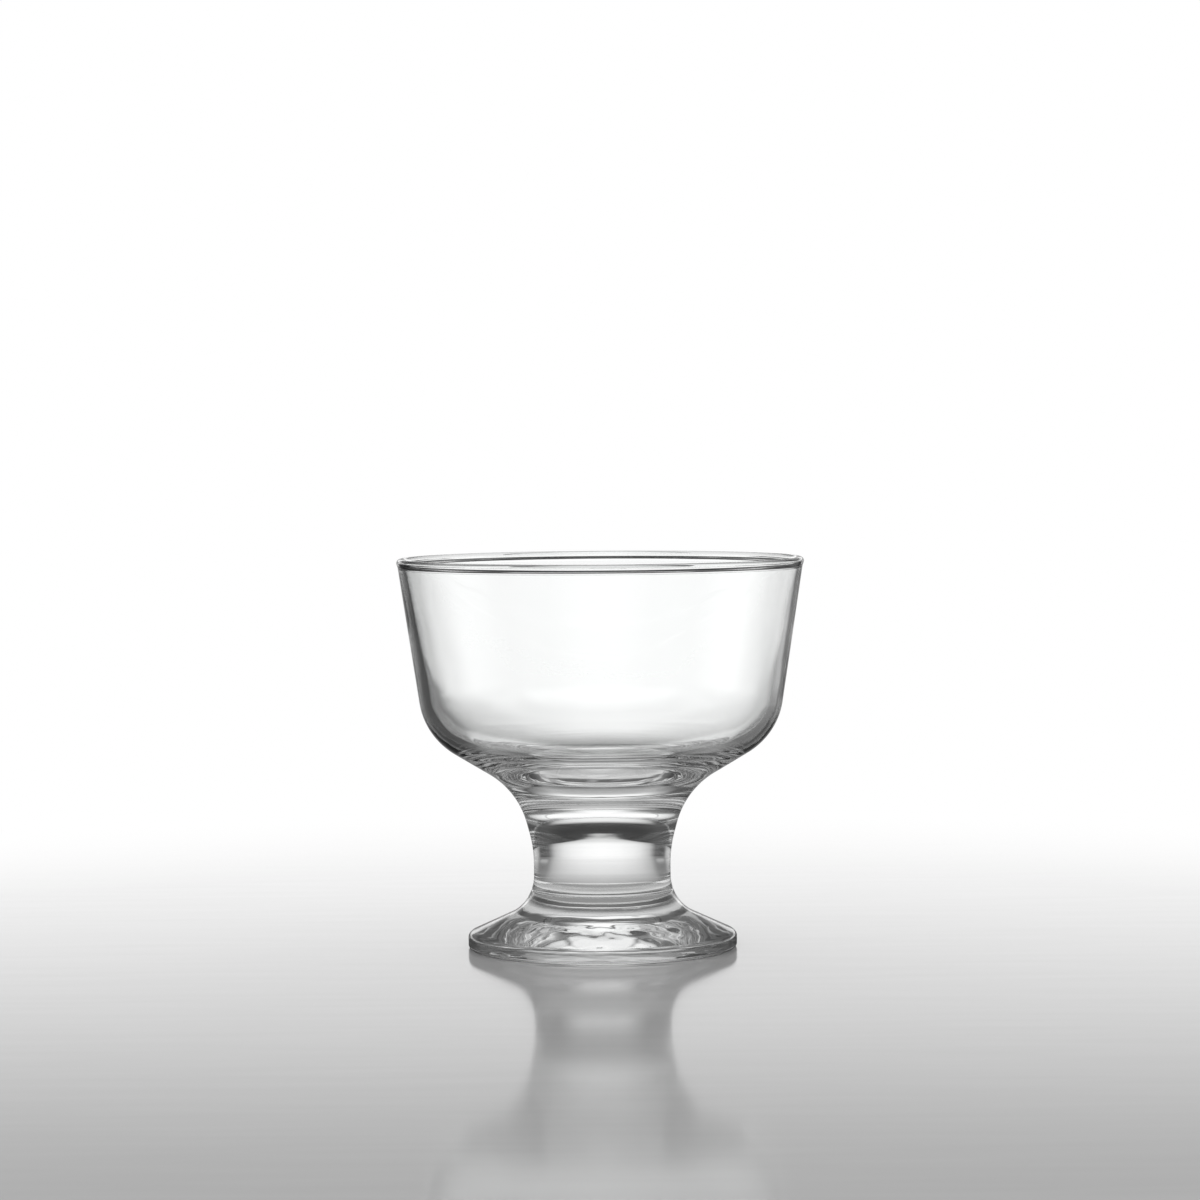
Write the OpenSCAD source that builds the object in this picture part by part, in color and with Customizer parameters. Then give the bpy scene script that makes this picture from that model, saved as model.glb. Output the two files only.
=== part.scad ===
/* [Overall] */
// Height from the table to the top of the rim
height = 96; // [90:0.5:110]
// Outer diameter of the lip round the rim
rim_d = 100; // [94:0.5:108]
// Widest diameter of the foot
foot_d = 66.2; // [60:0.2:76]

/* [Bowl] */
// Lean of the outer wall away from vertical, in degrees
wall_lean = 8.6; // [6:0.1:10]
// Thickness of the fire-polished lip round the rim
lip_t = 2.3; // [2:0.1:2.8]
// Height of the lip
lip_h = 1.3; // [1.1:0.1:2.5]
// Rounding of the two top edges of the lip
lip_r = 1; // [0.6:0.05:1]
// Height of the slopes that lead from the wall into the lip
lip_ease_h = 0.7; // [0.5:0.1:2]
// Wall thickness just under the lip
wall_top_t = 1.7; // [1.4:0.1:1.9]
// Wall thickness where the wall turns into the shoulder
wall_low_t = 2.8; // [2:0.1:3.4]
// Glass thickness under the inner shoulder, square to the underside
shoulder_t = 3.2; // [2.4:0.1:4]
// Depth of the dished floor below the lowest point of the inner shoulder
floor_sag = 4.6; // [1:0.1:5]
// Radius of the outer shoulder
shoulder_r = 17.5; // [14:0.5:20]
// Radius of the inner shoulder
inner_shoulder_r = 14.5; // [12:0.5:15]
// Rise of the bowl underside above horizontal, in degrees
underside_rise = 31; // [28:0.2:34]

/* [Stem] */
// Diameter of the stem at its waist
waist_d = 33.7; // [30:0.1:36]
// Height above the table at which the stem starts to flare towards the bowl
flare_z = 24.4; // [23:0.1:26]
// Lean of the flared part of the stem away from vertical, in degrees
flare_lean = 15; // [10:0.1:16]
// Height of the corner between the flared stem and the bowl underside
neck_z = 38.8; // [37:0.1:41]
// Radius that eases the waist into the flare
flare_r = 31; // [20:1:34]
// Radius of the hollow neck under the bowl
neck_r = 21; // [18:0.5:24]

/* [Foot] */
// Height of the upright edge of the foot
edge_h = 3.5; // [3.2:0.1:4.6]
// Slope of the top of the foot above horizontal, in degrees
foot_slope = 24.8; // [21:0.1:26]
// Radius of the hollow between the stem and the top of the foot
foot_fillet_r = 10.5; // [9:0.1:12.5]
// Rounding of the upper corner of the foot edge
edge_top_r = 1.4; // [1:0.1:1.6]
// Rounding of the lower corner of the foot edge
edge_low_r = 0.9; // [0.8:0.1:1.2]
// Width of the flat ring that the foot stands on
ring_w = 3.4; // [2:0.1:5]
// Depth of the shallow dome under the foot, at its middle
dome_h = 0.8; // [0.6:0.1:2]

/* [Joints] */
// Height of the fused face between the foot and the stem
foot_joint_z = 14.3; // [13:0.1:16]
// Height of the fused face between the stem and the bowl
bowl_joint_z = 30.3; // [29:0.1:31]
// Depth of the crease left round the foot joint
crease_d = 0.2; // [0.1:0.05:0.4]

/* [Hidden] */
$fn = 180;
glass_tint = [0.86, 0.9, 0.92, 0.55];

// Point where the line through p at angle a meets the line through q at angle b
function meet(p, a, q, b) =
    p + [cos(a), sin(a)] * ((q.x - p.x) * sin(b) - (q.y - p.y) * cos(b)) / sin(b - a);

// Unit vector from p towards q
function towards(p, q) = (q - p) / norm(q - p);

// Corners of the outer outline, as [radius, height]
foot_r = foot_d / 2;
waist_r = waist_d / 2;
rim_r = rim_d / 2;
wall_angle = 90 - wall_lean;
flare_angle = 90 - flare_lean;
base_corner = [foot_r, 0];
edge_corner = [foot_r, edge_h];
fillet_corner = meet(edge_corner, -foot_slope, [waist_r, 0], 90);
flare_corner = [waist_r, flare_z];
neck_corner = meet(flare_corner, flare_angle, [0, neck_z], 0);
lip_outer_top = [rim_r, height];
lip_inner_top = [rim_r - lip_t, height];
lip_outer_low = lip_outer_top - [0, lip_h];
lip_inner_low = lip_inner_top - [0, lip_h];
wall_top = meet(lip_outer_top, wall_angle, lip_outer_low - [0, lip_ease_h], 0);
shoulder_corner = meet(neck_corner, underside_rise, wall_top, wall_angle);

// Dome under the foot, as an arc through the inner edge of the standing ring
ring_r = foot_r - edge_low_r - ring_w;
dome_r = (pow(ring_r, 2) + pow(dome_h, 2)) / (2 * dome_h);

// Half of the angle at v between the sides towards a and b
function half_angle(a, v, b) = acos(towards(v, a) * towards(v, b)) / 2;

// Point on the side from v towards a where an arc of radius r at corner v starts
function touch(a, v, b, r) = v + towards(v, a) * r / tan(half_angle(a, v, b));

// Middle of the arc of radius r that touches both sides of corner v
function arc_mid(a, v, b, r) =
    v + towards([0, 0], towards(v, a) + towards(v, b)) * r / sin(half_angle(a, v, b));

// Shoulder arc, no larger than fits between the neck arc and the shoulder corner
neck_end = touch(shoulder_corner, neck_corner, flare_corner, neck_r);
shoulder_half_angle = half_angle(neck_corner, shoulder_corner, wall_top);
shoulder_fit_r = norm(shoulder_corner - neck_end) * tan(shoulder_half_angle);
shoulder_arc_r = min(shoulder_r, shoulder_fit_r);

// Inner wall, from its thickness under the lip and at the top of the shoulder
shoulder_top = touch(wall_top, shoulder_corner, neck_corner, shoulder_arc_r);
inner_top = wall_top - [wall_top_t, 0];
inner_low = shoulder_top - [wall_low_t, 0];
inner_dir = towards(inner_low, inner_top);
inner_angle = atan2(inner_dir.y, inner_dir.x);

// Inner shoulder arc: its middle is set in from the wall and up from the underside
inner_inset = inner_low + [-sin(inner_angle), cos(inner_angle)] * inner_shoulder_r;
under_inset = neck_corner
    + [-sin(underside_rise), cos(underside_rise)] * (inner_shoulder_r + shoulder_t);
shoulder_mid = meet(inner_inset, inner_angle, under_inset, underside_rise);

// Floor arc: centred on the axis and tangent to the inner shoulder arc
shoulder_up = inner_shoulder_r + floor_sag;
floor_z = shoulder_mid.y - shoulder_up;
floor_r = (pow(shoulder_mid.x, 2) + pow(shoulder_up, 2) - pow(inner_shoulder_r, 2))
    / (2 * (shoulder_up - inner_shoulder_r));
floor_turn = atan2(shoulder_mid.x, floor_z + floor_r - shoulder_mid.y);
floor_middle = [0, floor_z];
floor_corner = [floor_r * tan(floor_turn / 2), floor_z];
inner_corner = meet(floor_corner, floor_turn, inner_low, inner_angle);

// Triangle between corner v and the two ends of its arc
module corner_triangle(a, v, b, r) {
    polygon([touch(a, v, b, r), v, touch(b, v, a, r)]);
}

// What rounding takes off an outward corner
module outward_cut(a, v, b, r) {
    difference() {
        corner_triangle(a, v, b, r);
        translate(arc_mid(a, v, b, r)) circle(r);
    }
}

// What a hollow corner's arc takes off the chord between the arc's ends
module hollow_cut(a, v, b, r) {
    intersection() {
        corner_triangle(a, v, b, r);
        translate(arc_mid(a, v, b, r)) circle(r);
    }
}

// Outline from the middle of the base, round the outside and up to the lip
outer_points = [
    [0, 0],
    base_corner,
    edge_corner,
    touch(edge_corner, fillet_corner, flare_corner, foot_fillet_r),
    touch(flare_corner, fillet_corner, edge_corner, foot_fillet_r),
    touch(fillet_corner, flare_corner, neck_corner, flare_r),
    touch(neck_corner, flare_corner, fillet_corner, flare_r),
    touch(flare_corner, neck_corner, shoulder_corner, neck_r),
    neck_end,
    shoulder_corner,
    wall_top,
    lip_outer_low,
    lip_outer_top
];

// Outline from the lip, down the inside and to the middle of the floor
inner_points = [
    lip_inner_top,
    lip_inner_low,
    inner_top,
    touch(inner_top, inner_corner, floor_corner, inner_shoulder_r),
    touch(floor_corner, inner_corner, inner_top, inner_shoulder_r),
    floor_middle
];

// What rounds the outside of the glass
module outer_cuts() {
    hollow_cut(edge_corner, fillet_corner, flare_corner, foot_fillet_r);
    hollow_cut(fillet_corner, flare_corner, neck_corner, flare_r);
    hollow_cut(flare_corner, neck_corner, shoulder_corner, neck_r);
    outward_cut([0, 0], base_corner, edge_corner, edge_low_r);
    outward_cut(base_corner, edge_corner, fillet_corner, edge_top_r);
    outward_cut(neck_corner, shoulder_corner, wall_top, shoulder_arc_r);
}

// What rounds the lip and the inside of the bowl
module inner_cuts() {
    hollow_cut(inner_top, inner_corner, floor_corner, inner_shoulder_r);
    hollow_cut(inner_corner, floor_corner, floor_middle, floor_r);
    outward_cut(lip_outer_low, lip_outer_top, lip_inner_top, lip_r);
    outward_cut(lip_outer_top, lip_inner_top, lip_inner_low, lip_r);
}

// Half section of the solid glass between two heights, below the bowl's floor
module solid_section(low, high) {
    difference() {
        intersection() {
            polygon(concat(outer_points, [[0, height]]));
            translate([0, low]) square([rim_d, high - low]);
        }
        outer_cuts();
    }
}

// Half section of the bowl above a height
module bowl_section(low) {
    difference() {
        intersection() {
            polygon(concat(outer_points, inner_points));
            translate([0, low]) square([rim_d, height]);
        }
        outer_cuts();
        inner_cuts();
    }
}

// Radius of the outline at the foot joint, on the arc between foot and waist
joint_arc_mid = arc_mid(edge_corner, fillet_corner, flare_corner, foot_fillet_r);
foot_joint_drop = max(joint_arc_mid.y - foot_joint_z, 0);
foot_joint_r = joint_arc_mid.x - sqrt(pow(foot_fillet_r, 2) - pow(foot_joint_drop, 2));

// Groove round the foot joint, half in the stem and half in the foot
module crease() {
    translate([foot_joint_r, foot_joint_z])
    rotate(45)
    square(crease_d * sqrt(2), center = true);
}

module bowl() {
    color(glass_tint)
    rotate_extrude()
    bowl_section(bowl_joint_z);
}

module stem() {
    color(glass_tint)
    rotate_extrude()
    difference() {
        solid_section(foot_joint_z, bowl_joint_z);
        crease();
    }
}

module foot() {
    color(glass_tint)
    rotate_extrude()
    difference() {
        solid_section(0, foot_joint_z);
        crease();
        translate([0, dome_h - dome_r]) circle(dome_r);
    }
}

bowl();
stem();
foot();
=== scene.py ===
import math

import bpy
import numpy as np
from mathutils import Matrix, Vector, noise


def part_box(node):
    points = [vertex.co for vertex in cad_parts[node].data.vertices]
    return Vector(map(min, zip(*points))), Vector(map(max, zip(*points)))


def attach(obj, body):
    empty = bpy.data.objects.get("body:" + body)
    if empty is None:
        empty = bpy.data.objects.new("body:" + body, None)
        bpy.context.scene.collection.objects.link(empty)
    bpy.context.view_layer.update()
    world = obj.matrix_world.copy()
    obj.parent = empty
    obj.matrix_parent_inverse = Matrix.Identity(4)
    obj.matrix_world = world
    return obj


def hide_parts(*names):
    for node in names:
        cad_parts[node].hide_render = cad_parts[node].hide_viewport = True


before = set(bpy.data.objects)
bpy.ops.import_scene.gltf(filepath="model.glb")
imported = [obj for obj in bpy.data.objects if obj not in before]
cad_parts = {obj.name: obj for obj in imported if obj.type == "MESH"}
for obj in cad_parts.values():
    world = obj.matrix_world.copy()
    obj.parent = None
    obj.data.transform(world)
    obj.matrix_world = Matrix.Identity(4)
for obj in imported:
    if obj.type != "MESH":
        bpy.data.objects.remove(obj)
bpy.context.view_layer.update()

MM = 0.001
DEG = math.pi / 180

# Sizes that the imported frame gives
bowl_low, bowl_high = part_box("bowl")
stem_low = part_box("stem")[0]
foot_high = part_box("foot")[1]
rim_r = bowl_high.x
height = bowl_high.z
foot_r = foot_high.x
foot_joint_z = stem_low.z
bowl_joint_z = bowl_low.z

# Bowl
wall_lean = 8.6 * DEG
lip_t = 2.3 * MM
lip_h = 1.3 * MM
lip_r = 1.0 * MM
lip_ease_h = 0.7 * MM
lip_ease_r = 2.0 * MM
wall_top_t = 1.7 * MM
wall_low_t = 2.8 * MM
shoulder_t = 3.2 * MM
floor_sag = 4.6 * MM
shoulder_r = 17.5 * MM
inner_shoulder_r = 14.5 * MM
underside_rise = 31.0 * DEG

# Stem
waist_r = 16.85 * MM
flare_z = 24.4 * MM
flare_lean = 15.0 * DEG
neck_z = 38.8 * MM
flare_r = 31.0 * MM
neck_r = 21.0 * MM

# Foot
edge_h = 3.5 * MM
foot_slope = 24.8 * DEG
foot_fillet_r = 10.5 * MM
edge_top_r = 1.4 * MM
edge_low_r = 0.9 * MM
ring_w = 3.4 * MM
dome_h = 0.8 * MM
crease_w = 0.3 * MM
crease_d = 0.2 * MM

# Fineness of the turned mesh
TURN_STEPS = 360
ARC_STEP = 2.0 * DEG
LINE_STEP = 1.0 * MM
DOME_STEPS = 32

# Rings on each side of a joint, and how far they reach along the outline where it has no crease
JOINT_STEPS = 4
PLAIN_JOINT_W = 0.2 * MM

# The outline's own points are left out up to this many times the reach of a joint's rings
JOINT_CLEAR = 1.2

# Lengths under which spots count as one place, as on the axis, and as no length at all
SAME_PLACE = 1e-7
ON_AXIS = 1e-9
NO_LENGTH = 1e-12

# Share of its full radius that the arc of the cup's floor has, so that it ends short of the axis
FLOOR_ARC_SHARE = 0.999


def direction(angle):
    return Vector((math.cos(angle), math.sin(angle)))


def meet(p, a, q, b):
    """Point where the line through p at angle a meets the line through q at angle b."""
    across = (q.x - p.x) * math.sin(b) - (q.y - p.y) * math.cos(b)
    return p + direction(a) * across / math.sin(b - a)


def corner_arc(a, v, b, r):
    """Points of the arc of radius r that rounds corner v between the sides towards a and b."""
    to_a = (a - v).normalized()
    to_b = (b - v).normalized()
    half = to_a.angle(to_b) / 2
    middle = v + (to_a + to_b).normalized() * r / math.sin(half)
    first = v + to_a * r / math.tan(half) - middle
    last = v + to_b * r / math.tan(half) - middle
    turn = math.atan2(first.x * last.y - first.y * last.x, first.dot(last))
    steps = max(2, math.ceil(abs(turn) / ARC_STEP))
    start = math.atan2(first.y, first.x)
    return [middle + direction(start + turn * i / steps) * r for i in range(steps + 1)]


def divided(points):
    """The same line with its long straight runs divided and its doubled points left out."""
    out = [points[0]]
    for p in points[1:]:
        start = out[-1]
        run = (p - start).length
        if run < SAME_PLACE:
            continue
        pieces = max(1, math.ceil(run / LINE_STEP))
        out += [start.lerp(p, i / pieces) for i in range(1, pieces + 1)]
    return out


def rounded_line(corners):
    """Points along a chain of (point, rounding radius) corners."""
    points = [corners[0][0]]
    for before, (corner, r), after in zip(corners, corners[1:], corners[2:]):
        points += corner_arc(before[0], corner, after[0], r)
    points.append(corners[-1][0])
    return divided(points)


# Corners of the half section, as (radius, height)
wall_angle = math.pi / 2 - wall_lean
flare_angle = math.pi / 2 - flare_lean
base_corner = Vector((foot_r, 0))
edge_corner = Vector((foot_r, edge_h))
fillet_corner = meet(edge_corner, -foot_slope, Vector((waist_r, 0)), math.pi / 2)
flare_corner = Vector((waist_r, flare_z))
neck_corner = meet(flare_corner, flare_angle, Vector((0, neck_z)), 0)
lip_outer_top = Vector((rim_r, height))
lip_inner_top = Vector((rim_r - lip_t, height))
lip_middle = (lip_outer_top + lip_inner_top) / 2
lip_outer_low = lip_outer_top - Vector((0, lip_h))
lip_inner_low = lip_inner_top - Vector((0, lip_h))
wall_top = meet(lip_outer_top, wall_angle, lip_outer_low - Vector((0, lip_ease_h)), 0)
shoulder_corner = meet(neck_corner, underside_rise, wall_top, wall_angle)

# Inner wall and the dished floor of the cup
inner_top = wall_top - Vector((wall_top_t, 0))
shoulder_top = corner_arc(neck_corner, shoulder_corner, wall_top, shoulder_r)[-1]
inner_low = shoulder_top - Vector((wall_low_t, 0))
inner_angle = math.atan2(inner_top.y - inner_low.y, inner_top.x - inner_low.x)
inner_normal = Vector((-math.sin(inner_angle), math.cos(inner_angle)))
inner_inset = inner_low + inner_normal * inner_shoulder_r
under_normal = Vector((-math.sin(underside_rise), math.cos(underside_rise)))
under_inset = neck_corner + under_normal * (inner_shoulder_r + shoulder_t)
shoulder_mid = meet(inner_inset, inner_angle, under_inset, underside_rise)
shoulder_up = inner_shoulder_r + floor_sag
floor_middle = Vector((0, shoulder_mid.y - shoulder_up))
floor_r = (shoulder_mid.x**2 + shoulder_up**2 - inner_shoulder_r**2) / (2 * floor_sag)
floor_turn = math.atan2(shoulder_mid.x, floor_r - shoulder_up)
floor_corner = floor_middle + Vector((floor_r * math.tan(floor_turn / 2), 0))
inner_corner = meet(floor_corner, floor_turn, inner_low, inner_angle)

# Outline from the middle of the base, round the outside and up to the middle of the lip
outside = rounded_line([
    (Vector((0, 0)), 0),
    (base_corner, edge_low_r),
    (edge_corner, edge_top_r),
    (fillet_corner, foot_fillet_r),
    (flare_corner, flare_r),
    (neck_corner, neck_r),
    (shoulder_corner, shoulder_r),
    (wall_top, lip_ease_r),
    (lip_outer_low, lip_ease_r),
    (lip_outer_top, lip_r),
    (lip_middle, 0),
])

# Outline from the middle of the lip, down the inside and to the middle of the floor
inside = rounded_line([
    (lip_middle, 0),
    (lip_inner_top, lip_r),
    (lip_inner_low, lip_ease_r),
    (inner_top, lip_ease_r),
    (inner_corner, inner_shoulder_r),
    (floor_corner, floor_r * FLOOR_ARC_SHARE),
    (floor_middle, 0),
])

# Dome under the foot, inside the standing ring
ring_r = foot_r - edge_low_r - ring_w
dome_r = (ring_r**2 + dome_h**2) / (2 * dome_h)
dome_radii = [ring_r * i / DOME_STEPS for i in range(DOME_STEPS + 1)]
dome = [Vector((r, dome_h - dome_r + math.sqrt(dome_r**2 - r**2))) for r in dome_radii]


def with_joint(points, z, groove_w, groove_d):
    """Puts a shallow round groove into a rising line at height z, and says where its middle is."""
    k = next(i for i, (p, q) in enumerate(zip(points, points[1:])) if p.y < z <= q.y)
    p, q = points[k], points[k + 1]
    at = p.lerp(q, (z - p.y) / (q.y - p.y))
    along = (q - p).normalized()
    groove = []
    for i in range(-JOINT_STEPS, JOINT_STEPS + 1):
        share = i / JOINT_STEPS
        depth = groove_d * (1 + math.cos(math.pi * share)) / 2
        groove.append(at + along * groove_w * share - Vector((depth, 0)))
    clear = JOINT_CLEAR * groove_w
    before = [v for v in points[:k + 1] if (v - at).length > clear]
    after = [v for v in points[k + 1:] if (v - at).length > clear]
    return before + groove + after, len(before) + JOINT_STEPS


# One outline for the whole glass, with the places in it where the pieces are fused
base_end = next(i for i, p in enumerate(outside) if p.x > ring_r)
outline = dome + outside[base_end:]
outline, foot_joint = with_joint(outline, foot_joint_z, crease_w, crease_d)
outline, bowl_joint = with_joint(outline, bowl_joint_z, PLAIN_JOINT_W, 0)
outline += inside[1:]
outline_end = len(outline) - 1

# The pressed surface is never quite true: it lies up to this much inside the CAD surface
UNEVEN_D = 0.03 * MM
UNEVEN_SPACING = 9 * MM

# Normals are shared at corners that turn by less than this
SHARP_CORNER = 30 * DEG


def unit(vectors):
    return vectors / np.maximum(np.linalg.norm(vectors, axis=-1, keepdims=True), NO_LENGTH)


def unevenness(spots):
    """Depth of the uneven surface below the true one at each spot."""
    values = [noise.noise(Vector(spot) / UNEVEN_SPACING) for spot in spots.reshape(-1, 3)]
    return UNEVEN_D * (0.5 + 0.5 * np.array(values)).clip(0, 1).reshape(spots.shape[:-1] + (1,))


def grid_normals(spots):
    """Normals of a turned grid towards the faces before and after each spot, and between the two."""
    steps = spots[1:] - spots[:-1]
    around = np.roll(spots, -1, axis=1) - np.roll(spots, 1, axis=1)
    before = np.cross(around, unit(np.concatenate([steps[:1], steps])))
    after = np.cross(around, unit(np.concatenate([steps, steps[-1:]])))
    on_axis = np.hypot(spots[..., 0], spots[..., 1]) < ON_AXIS
    before[on_axis] = after[on_axis] = (0, 0, 0)
    before = unit(before)
    after = unit(after)
    between = unit(before + after)
    smooth = np.sum(before * after, axis=-1, keepdims=True) > math.cos(SHARP_CORNER)
    return np.where(smooth, between, before), np.where(smooth, between, after), between


def turned_grid(points):
    """Spots of the outline turned about +Z, and their normals towards the faces before and after."""
    angles = np.arange(TURN_STEPS) * 2 * math.pi / TURN_STEPS
    r = np.array([p.x for p in points])[:, None]
    z = np.array([p.y for p in points])[:, None]
    true = np.stack([r * np.cos(angles), r * np.sin(angles), z + 0 * angles], axis=-1)
    spots = true - grid_normals(true)[2] * unevenness(true)
    before, after, _ = grid_normals(spots)
    before[0] = after[0] = (0, 0, -1)
    before[-1] = after[-1] = (0, 0, 1)
    return spots, before, after


grid, normals_before, normals_after = turned_grid(outline)


class TurnedMesh:
    """Closed mesh of the grid's rings from first to last, flat where it is fused to others."""

    def __init__(self, first, last):
        self.spots = []
        self.faces = []
        self.normals = []
        self.fused_faces = []
        rings = [self.add_ring(k) for k in range(first, last + 1)]
        for k, (low, high) in enumerate(zip(rings, rings[1:]), first):
            self.add_side(low, high, k)
        self.add_end(rings[0], first, -1)
        self.add_end(rings[-1], last, 1)

    def add_ring(self, k):
        """Adds the spots of ring k, which is a single spot on the axis, and gives their numbers."""
        ring = grid[k][:1] if outline[k].x < ON_AXIS else grid[k]
        start = len(self.spots)
        self.spots += [tuple(spot) for spot in ring]
        return range(start, len(self.spots))

    def add_side(self, low, high, k):
        """Adds the faces between rings k and k + 1."""
        for i in range(TURN_STEPS):
            j = (i + 1) % TURN_STEPS
            corners = [(low, i, k), (low, j, k), (high, j, k + 1), (high, i, k + 1)]
            if len(low) == 1:
                corners = corners[1:]
            elif len(high) == 1:
                corners = corners[:3]
            self.faces.append([ring[step % len(ring)] for ring, step, _ in corners])
            for _, step, at in corners:
                normals = normals_after if at == k else normals_before
                self.normals.append(tuple(normals[at, step]))

    def add_end(self, ring, k, up):
        """Closes the mesh with flat faces at ring k, which look up or down."""
        if len(ring) == 1:
            return
        middle = len(self.spots)
        self.spots.append((0, 0, grid[k][:, 2].mean()))
        for i in range(TURN_STEPS):
            self.fused_faces.append(len(self.faces))
            self.faces.append([middle, ring[i], ring[(i + up) % TURN_STEPS]])
            self.normals += [(0, 0, up)] * 3


def turned_piece(name, first, last, materials):
    """A piece of the grid's rings from first to last. Its fused faces have the second material."""
    shape = TurnedMesh(first, last)
    mesh = bpy.data.meshes.new(name)
    mesh.from_pydata(shape.spots, [], shape.faces)
    mesh.shade_smooth()
    mesh.normals_split_custom_set(shape.normals)
    for material in materials:
        mesh.materials.append(material)
    for face in shape.fused_faces:
        mesh.polygons[face].material_index = 1
    piece = bpy.data.objects.new(name, mesh)
    bpy.context.collection.objects.link(piece)
    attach(piece, "root")
    return piece


def build_foot(materials):
    """The foot, from the middle of its dome to the crease."""
    foot_glass = turned_piece("foot_glass", 0, foot_joint, materials)
    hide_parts("foot")


def build_stem(materials):
    """The stem, from the crease to the joint under the neck."""
    stem_glass = turned_piece("stem_glass", foot_joint, bowl_joint, materials)
    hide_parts("stem")


def build_bowl(materials):
    """The bowl, from the joint under the neck, over the lip and to the middle of the cup's floor."""
    bowl_glass = turned_piece("bowl_glass", bowl_joint, outline_end, materials)
    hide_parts("bowl")


class Nodes:
    """Short forms for building a node tree."""

    def __init__(self, tree):
        self.tree = tree
        tree.nodes.clear()

    def add(self, kind, values=None, **settings):
        node = self.tree.nodes.new(kind)
        for name, value in settings.items():
            setattr(node, name, value)
        for socket, value in (values or {}).items():
            self.put(node.inputs[socket], value)
        return node

    def put(self, socket, value):
        if isinstance(value, bpy.types.NodeSocket):
            self.tree.links.new(value, socket)
        else:
            socket.default_value = value

    def math(self, operation, *values):
        return self.add("ShaderNodeMath", dict(enumerate(values)), operation=operation).outputs[0]

    def vector_math(self, operation, *values):
        return self.add("ShaderNodeVectorMath", dict(enumerate(values)), operation=operation)

    def split(self, vector):
        return self.add("ShaderNodeSeparateXYZ", {0: vector}).outputs

    def mix(self, share, a, b):
        values = {"Factor": share, "A": a, "B": b}
        return self.add("ShaderNodeMix", values, data_type="FLOAT").outputs["Result"]

    def ramp(self, value, stops):
        """Grey level at a value from 0 to 1, through (place, level) stops."""
        node = self.add("ShaderNodeValToRGB", {0: value})
        for i, (place, level) in enumerate(stops):
            stop = node.color_ramp.elements[i] if i < 2 else node.color_ramp.elements.new(1)
            stop.position = place
            stop.color = (level, level, level, 1)
        return node.outputs["Color"]

    def noise(self, place, scale, detail):
        """Soft grey noise from 0 to 1, in steps per metre."""
        values = {"Vector": place, "Scale": scale, "Detail": detail}
        return self.add("ShaderNodeTexNoise", values).outputs[0]

    def fade(self, value, start, end):
        """0 up to start, 1 from end on, and a smooth rise between them."""
        values = {"Value": value, "From Min": start, "From Max": end}
        return self.add("ShaderNodeMapRange", values, interpolation_type="SMOOTHSTEP").outputs[0]


def new_material(name):
    material = bpy.data.materials.new(name)
    material.use_nodes = True
    return material, Nodes(material.node_tree)


# Waves of the glass surface, too shallow to model, which are deeper on the foot
WAVE_SPACING = 7 * MM
FOOT_WAVES = 0.12 * MM
BODY_WAVES = 0.012 * MM
WAVES_CHANGE = (foot_joint_z - 4 * MM, foot_joint_z + 2 * MM)

# Fine grain of the glass surface, which also varies the tint from the first colour to the second
GRAIN_SPACING = 1.6 * MM
GRAIN_DEPTH = 0.0015 * MM
GLASS_TINTS = [(0.98, 0.988, 0.985, 1), (0.99, 0.993, 0.992, 1)]


def glass_bump(tree, place, grain):
    """Normal of the glass surface with its waves and its fine grain."""
    z = tree.split(place)["Z"]
    depth = tree.mix(tree.fade(z, *WAVES_CHANGE), FOOT_WAVES, BODY_WAVES)
    waves = tree.noise(place, 1 / WAVE_SPACING, 1.0)
    wavy = tree.add("ShaderNodeBump", {"Height": waves, "Strength": 1.0, "Distance": depth})
    grainy = tree.add("ShaderNodeBump", {
        "Height": grain,
        "Strength": 1.0,
        "Distance": GRAIN_DEPTH,
        "Normal": wavy.outputs[0],
    })
    return grainy.outputs[0]


def glass_material():
    """Clear glass with the faint waves of a pressed surface."""
    material, tree = new_material("clear_glass")
    place = tree.add("ShaderNodeTexCoord").outputs["Object"]
    grain = tree.noise(place, 1 / GRAIN_SPACING, 2.0)
    tint = tree.add("ShaderNodeValToRGB", {0: grain})
    for stop, colour in zip(tint.color_ramp.elements, GLASS_TINTS):
        stop.color = colour
    glass = tree.add("ShaderNodeBsdfPrincipled", {
        "Base Color": tint.outputs[0],
        "Roughness": 0.0,
        "IOR": 1.5,
        "Transmission Weight": 1.0,
        "Normal": glass_bump(tree, place, grain),
    })
    tree.add("ShaderNodeOutputMaterial", {"Surface": glass.outputs[0]})
    return material


def fused_material():
    """Where two pieces are fused the glass runs on, so the faces there don't show."""
    material, tree = new_material("fused_joint")
    clear = tree.add("ShaderNodeBsdfTransparent")
    tree.add("ShaderNodeOutputMaterial", {"Surface": clear.outputs[0]})
    return material


# The studio: a bright surround with four dark gaps, as lists of (place, brightness) stops

# Brightness by degrees from the nearest of four main directions, up to the middle of a gap
GAP_MIDDLE = 45
STRAIGHT_LOBE = [
    (0, 1), (9, 0.97), (18, 0.86), (23, 0.75), (28, 0.57), (31, 0.45), (35, 0.18), (38, 0.04), (45, 0),
]
REFLECTED_LOBE = [(0, 1), (12, 0.95), (20, 0.5), (28, 0.05), (34, 0), (45, 0)]

# A narrow light in the middle of each gap, which the wall of the cup shows
HALFWAY_LOBE = [(0, 0), (35, 0), (38, 0.5), (41, 0.95), (45, 1)]

# How the cup shows the main directions: turned, and narrower on the floor up to some distance
CUP_TURN = 4.5 * DEG
CUP_SQUEEZE = 1.45
CUP_SQUEEZE_END = (400 * MM, 480 * MM)

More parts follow.
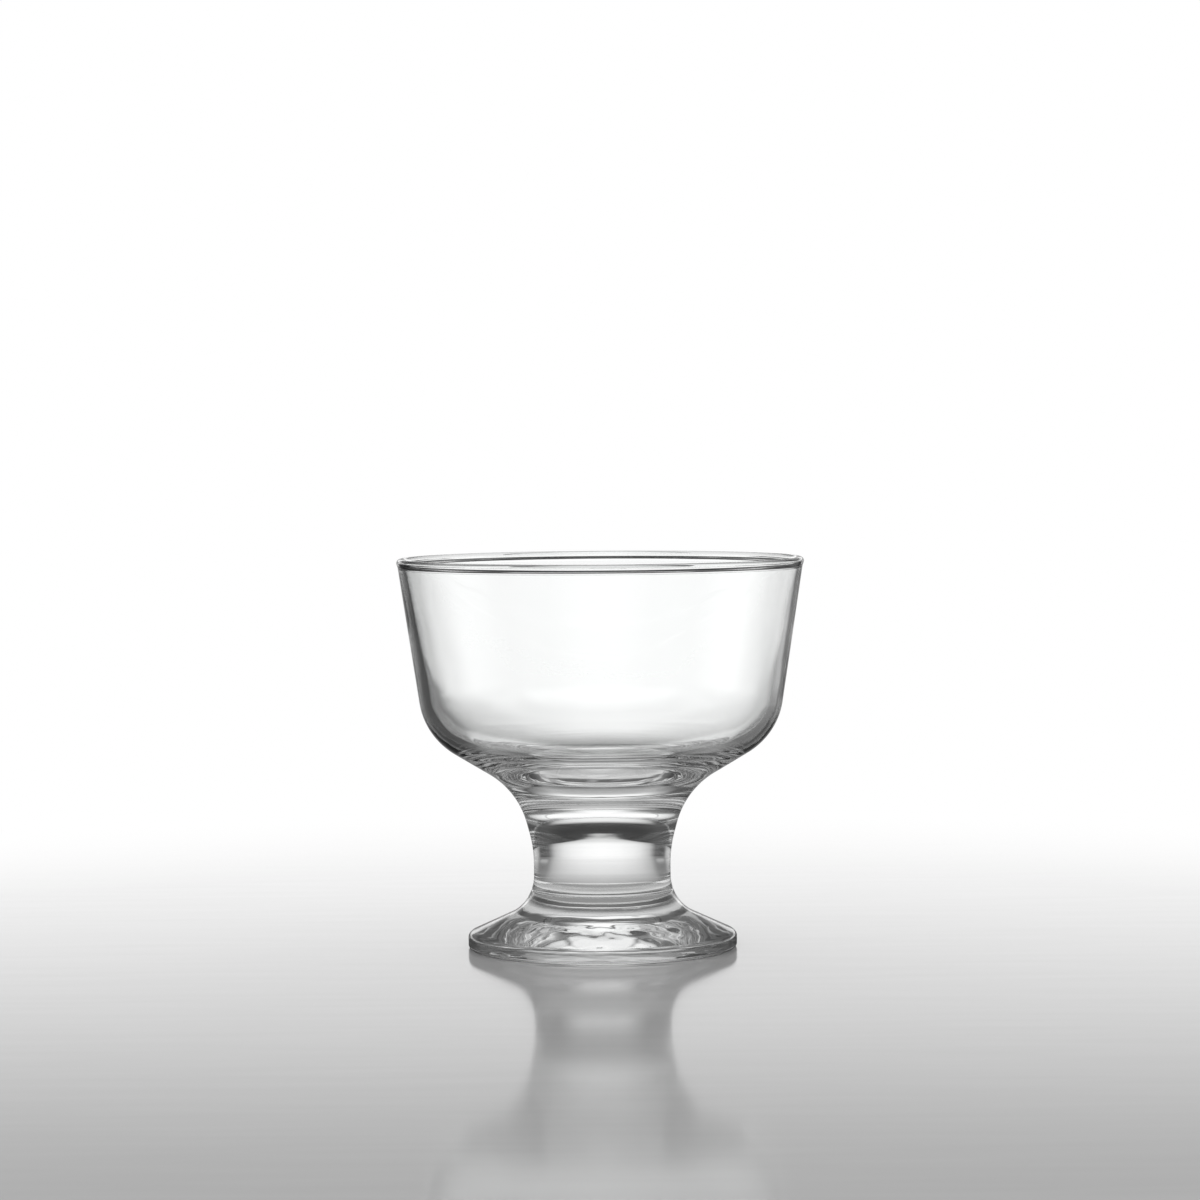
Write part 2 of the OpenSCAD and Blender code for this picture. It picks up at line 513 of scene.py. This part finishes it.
# Brightness by degrees above the horizon
STRAIGHT_BACKDROP = [
    (0, 1.06), (7, 1.06), (8, 0.98), (9.3, 0.72), (9.7, 0.05),
    (12, 0.04), (21, 0.05), (26, 0.83), (40, 1), (90, 1),
]
REFLECTED_BACKDROP = [
    (0, 1.2), (7.5, 1.1), (10, 0.5), (13, 0.15), (28, 0.15), (32, 0.7), (46, 1.2), (90, 1.3),
]
MIRRORED_BACKDROP = [
    (0, 0.4), (3, 0.6), (5.5, 1.5), (6.6, 1.58), (8, 1.25), (9.7, 0.85), (10.5, 0.55),
    (11.2, 0.33), (14, 0.33), (18, 0.12), (30, 0.15), (50, 0.6), (90, 1),
]
GAP_BACKDROP = [(0, 0.08), (30, 0.08), (48, 0.15), (58, 0.85), (68, 1.1), (90, 1.2)]

# The wide soft light over the -Y side, which shows only after reflections inside the glass and ends
# between these angles from -Y
FRONT_LIGHT = [(0, 0.1), (12, 0.15), (18, 0.4), (24, 0.9), (40, 1.1), (90, 1.2)]
FRONT_LIGHT_EDGE = (50 * DEG, 66 * DEG)

# Painted glow of the floor by mm from the glass's axis, as glass and gloss show it
# Painted shade near the foot; after reflections, painted light under its middle and a painted contact
# shadow round its edge
PAINTED_SOLID_FLOOR = [
    (0, 0.2), (30, 0.22), (43, 0.3), (80, 0.56), (136, 0.76), (205, 0.84), (350, 0.92), (1000, 1.05),
]
PAINTED_CUP_FLOOR = [
    (0, 0.35), (30, 0.4), (60, 0.7), (80, 0.88), (134, 1.1), (360, 1.05), (500, 1.2), (1000, 1.2),
]
PAINTED_REFLECTED_FLOOR = [
    (0, 1.4), (4, 1), (9, 0.5), (20, 0.5), (27, 0.9), (29, 0.6), (32, 0.15), (38, 0.15),
    (60, 0.45), (120, 0.57), (200, 0.8), (500, 1.2),
]
# Painted dark of the floor's glow in its gaps
SOLID_FLOOR_GAP = 0.22
REFLECTED_FLOOR_GAP = 0.06

# Part of the floor where solid glass shows the halfway lights painted in its glow too, and how strongly
HALFWAY_START = (180 * MM, 350 * MM)
HALFWAY_END = (450 * MM, 900 * MM)
HALFWAY_IN_SOLID = 0.35

# Painted light on the floor to the right, by degrees from its middle, which shows only after reflections
SIDE_LIGHT_TURN = 50 * DEG
PAINTED_SIDE_LIGHT = [(0, 0.8), (16, 0.7), (22, 0), (45, 0)]

# Share of that light which is left near the glass, and where it rises to the whole
SIDE_LIGHT_NEAR = 0.4
SIDE_LIGHT_RISE = (270 * MM, 350 * MM)

# Where the painted dark gaps of the floor's glow start after reflections, by distance from the glass's
# axis
FLOOR_GAPS_START = (34 * MM, 90 * MM)

# The floor itself: a grey board round a point in front of the glass, which passes into white
BOARD = 0.43
BOARD_CENTRE = (0, -80 * MM, 0)
BOARD_END = (230 * MM, 400 * MM)
FLOOR_REACH = 6.0
FLOOR_DROP = 0.02 * MM

# Share of the floor's painted glow in what glass and gloss show, beside the board's own
PAINTED_GLOW_SHARE = 0.9

# Faint streaks along the board: how many fit in a metre along X, Y and Z, and how deep
STREAKS_PER_METRE = (22, 150, 1)
STREAK_DEPTH = 0.04

# Surfaces on the straight way through both walls of the cup
CUP_SURFACES = 4.0

# Share of the light that is left after each reflection inside the glass, up to the most counted
INNER_REFLECTION = 0.9
MOST_REFLECTIONS = 8.0

# Share of the floor's painted glow in what the outside of the glass mirrors
MIRRORED_FLOOR = 0.35

# Share that is left of what shows twice mirrored, first in the floor and then in the glass
TWICE_MIRRORED = 0.4


def distance_levels(tree, away, stops):
    """Painted brightness of the floor by distance from the glass's axis."""
    reach = stops[-1][0] * MM
    share = tree.math("DIVIDE", away, reach)
    return tree.ramp(share, [(mm * MM / reach, level) for mm, level in stops])


def height_levels(tree, z, stops):
    """Brightness by height above the horizon, where z is the sine of that angle."""
    return tree.ramp(z, [(math.sin(degrees * DEG), level) for degrees, level in stops])


def turn_levels(tree, off, stops):
    """Brightness by the angle from a direction, up to the middle of a gap."""
    share = tree.math("DIVIDE", off, GAP_MIDDLE * DEG)
    return tree.ramp(share, [(degrees / GAP_MIDDLE, level) for degrees, level in stops])


def compass(tree, x, y, turn, stops, squeeze=1.0):
    """Brightness round the compass, with the four main directions turned by turn."""
    angle = tree.math("SUBTRACT", tree.math("ARCTAN2", x, y), turn)
    off = tree.math("PINGPONG", angle, GAP_MIDDLE * DEG)
    return turn_levels(tree, tree.math("MULTIPLY", off, squeeze), stops)


class Ways:
    """The way that light took through the glass, by how often it crossed or was mirrored by a surface.

    Each is 1 where it holds and 0 elsewhere, but left and left_outside are shares of light.
    """

    def __init__(self, tree):
        self.tree = tree
        path = tree.add("ShaderNodeLightPath").outputs
        crossed = path["Transmission Depth"]
        mirrored = path["Glossy Depth"]
        self.not_seen_directly = tree.math("MAXIMUM", path["Is Glossy Ray"], path["Is Transmission Ray"])
        self.through_glass = tree.math("GREATER_THAN", crossed, 0.5)
        self.reflected = tree.math("GREATER_THAN", mirrored, 0.5)
        both_walls = tree.math("COMPARE", crossed, CUP_SURFACES, 0.5)
        straight = tree.math("SUBTRACT", 1.0, self.reflected)
        self.through_cup = tree.math("MULTIPLY", both_walls, straight)
        self.left_outside = tree.mix(tree.math("GREATER_THAN", mirrored, 1.5), 1.0, TWICE_MIRRORED)
        outside = tree.math("MULTIPLY", self.left_outside, MIRRORED_FLOOR)
        inside = tree.math("POWER", INNER_REFLECTION, tree.math("MINIMUM", mirrored, MOST_REFLECTIONS))
        self.left = tree.mix(self.through_glass, outside, inside)

    def pick(self, solid, cup, reflected):
        """The brightness for the way that the light took, dimmed by its reflections."""
        straight = self.tree.mix(self.through_cup, solid, cup)
        return self.tree.math("MULTIPLY", self.left, self.tree.mix(self.reflected, straight, reflected))


def all_lobes(tree, x, y, squeeze=1.0, halfway_in_solid=0.0):
    """Brightness round the compass behind solid glass, behind the cup and after reflections."""
    halfway = compass(tree, x, y, 0.0, HALFWAY_LOBE)
    solid = compass(tree, x, y, 0.0, STRAIGHT_LOBE)
    cup = compass(tree, x, y, CUP_TURN, STRAIGHT_LOBE, squeeze)
    return (
        tree.math("MAXIMUM", solid, tree.math("MULTIPLY", halfway, halfway_in_solid)),
        tree.math("MAXIMUM", cup, halfway),
        compass(tree, x, y, 0.0, REFLECTED_LOBE),
    )


def surround_in_glass(tree, x, y, z):
    """Brightness of the surround behind solid glass, behind the cup and after reflections."""
    solid, cup, reflected = all_lobes(tree, x, y)
    gap = height_levels(tree, z, GAP_BACKDROP)
    backdrop = height_levels(tree, z, STRAIGHT_BACKDROP)
    behind = tree.mix(reflected, gap, height_levels(tree, z, REFLECTED_BACKDROP))
    off_front = tree.math("ABSOLUTE", tree.math("ARCTAN2", x, tree.math("MULTIPLY", y, -1.0)))
    beside = tree.fade(off_front, *FRONT_LIGHT_EDGE)
    return (
        tree.mix(solid, gap, backdrop),
        tree.mix(cup, gap, backdrop),
        tree.mix(beside, height_levels(tree, z, FRONT_LIGHT), behind),
    )


def build_world():
    """Plain white where it is seen directly, and the studio in glass and gloss."""
    world = bpy.data.worlds.new("studio")
    world.use_nodes = True
    tree = Nodes(world.node_tree)
    x, y, z = tree.split(tree.add("ShaderNodeTexCoord").outputs["Generated"])
    ways = Ways(tree)
    through = ways.pick(*surround_in_glass(tree, x, y, z))
    mirrored = tree.math("MULTIPLY", ways.left_outside, height_levels(tree, z, MIRRORED_BACKDROP))
    studio = tree.mix(ways.through_glass, mirrored, through)
    light = tree.add("ShaderNodeBackground", {"Color": tree.mix(ways.not_seen_directly, 1.0, studio)})
    tree.add("ShaderNodeOutputWorld", {"Surface": light.outputs[0]})
    world.cycles.sampling_method = "NONE"
    bpy.context.scene.world = world


def painted_side_light(tree, x, y, away):
    """Brightness of the painted light on the floor to the right, which is weaker near the glass."""
    off = tree.math("ABSOLUTE", tree.math("SUBTRACT", tree.math("ARCTAN2", x, y), SIDE_LIGHT_TURN))
    strength = tree.mix(tree.fade(away, *SIDE_LIGHT_RISE), SIDE_LIGHT_NEAR, 1.0)
    return tree.math("MULTIPLY", turn_levels(tree, off, PAINTED_SIDE_LIGHT), strength)


def painted_floor_light(tree, place):
    """Painted light and shade of the floor behind solid glass, behind the cup and after reflections."""
    x, y, _ = tree.split(place)
    away = tree.vector_math("LENGTH", place).outputs["Value"]
    squeeze = tree.mix(tree.fade(away, *CUP_SQUEEZE_END), CUP_SQUEEZE, 1.0)
    halfway = tree.mix(tree.fade(away, *HALFWAY_END), tree.fade(away, *HALFWAY_START), 0.0)
    halfway = tree.math("MULTIPLY", halfway, HALFWAY_IN_SOLID)
    solid, cup, reflected = all_lobes(tree, x, y, squeeze, halfway)
    reflected = tree.math("MAXIMUM", reflected, painted_side_light(tree, x, y, away))
    reflected = tree.mix(tree.fade(away, *FLOOR_GAPS_START), 1.0, reflected)
    return (
        tree.mix(solid, SOLID_FLOOR_GAP, distance_levels(tree, away, PAINTED_SOLID_FLOOR)),
        tree.mix(cup, REFLECTED_FLOOR_GAP, distance_levels(tree, away, PAINTED_CUP_FLOOR)),
        tree.mix(reflected, REFLECTED_FLOOR_GAP, distance_levels(tree, away, PAINTED_REFLECTED_FLOOR)),
    )


def floor_board(tree, place):
    """The plain glossy board with its faint streaks."""
    stretched = tree.vector_math("MULTIPLY", place, STREAKS_PER_METRE).outputs["Vector"]
    streaks = tree.noise(stretched, 1.0, 1.0)
    board = tree.add("ShaderNodeBsdfPrincipled", {
        "Base Color": tree.mix(streaks, BOARD * (1 - STREAK_DEPTH), BOARD * (1 + STREAK_DEPTH)),
        "Roughness": 0.1,
        "IOR": 1.5,
    })
    return board.outputs[0]


def floor_material():
    """The board, which ends in white, and the painted light and shade of the floor that glass and gloss
    show.
    """
    material, tree = new_material("floor")
    place = tree.add("ShaderNodeNewGeometry").outputs["Position"]
    ways = Ways(tree)
    # For glass and gloss the floor glows with painted light and shade, which no lamp casts
    painted_floor_levels = ways.pick(*painted_floor_light(tree, place))
    glow = tree.add("ShaderNodeEmission", {"Color": tree.mix(ways.not_seen_directly, 1.0, painted_floor_levels)})
    off_centre = tree.vector_math("DISTANCE", place, BOARD_CENTRE).outputs["Value"]
    share = tree.mix(ways.not_seen_directly, tree.fade(off_centre, *BOARD_END), PAINTED_GLOW_SHARE)
    surface = tree.add("ShaderNodeMixShader", {
        0: share,
        1: floor_board(tree, place),
        2: glow.outputs[0],
    })
    tree.add("ShaderNodeOutputMaterial", {"Surface": surface.outputs[0]})
    return material


def build_floor():
    """A wide floor, a hair below the standing ring so that the two don't share a plane."""
    reach = FLOOR_REACH
    corners = [(-reach, -reach, 0), (reach, -reach, 0), (reach, reach, 0), (-reach, reach, 0)]
    mesh = bpy.data.meshes.new("floor")
    mesh.from_pydata(corners, [], [(0, 1, 2, 3)])
    mesh.materials.append(floor_material())
    floor = bpy.data.objects.new("floor", mesh)
    floor.location.z = -FLOOR_DROP
    bpy.context.collection.objects.link(floor)


# The camera at the photograph's viewing angle: its place, its angles in radians and its lens
CAMERA_PLACE = (-0.73 * MM, -911 * MM, 127.9 * MM)
CAMERA_TURN = -0.0007
CAMERA_DIP = 0.0465
CAMERA_ROLL = -0.0071
CAMERA_SENSOR = 36
CAMERA_LENS = 111.35


def build_camera():
    """The camera that the picture is taken with."""
    data = bpy.data.cameras.new("camera")
    data.sensor_width = CAMERA_SENSOR
    data.lens = CAMERA_LENS
    camera = bpy.data.objects.new("camera", data)
    bpy.context.collection.objects.link(camera)
    camera.matrix_world = (
        Matrix.Translation(CAMERA_PLACE)
        @ Matrix.Rotation(CAMERA_TURN, 4, "Z")
        @ Matrix.Rotation(math.pi / 2 - CAMERA_DIP, 4, "X")
        @ Matrix.Rotation(CAMERA_ROLL, 4, "Z")
    )
    bpy.context.scene.camera = camera


def set_bounces():
    """Bounces enough for the light to find its way through the solid stem and foot."""
    cycles = bpy.context.scene.cycles
    cycles.max_bounces = 24
    cycles.transmission_bounces = 24
    cycles.glossy_bounces = 16
    cycles.transparent_max_bounces = 48


glass_materials = [glass_material(), fused_material()]
build_foot(glass_materials)
build_stem(glass_materials)
build_bowl(glass_materials)
build_world()
build_floor()
build_camera()
set_bounces()

bpy.context.scene.view_settings.view_transform = "Standard"
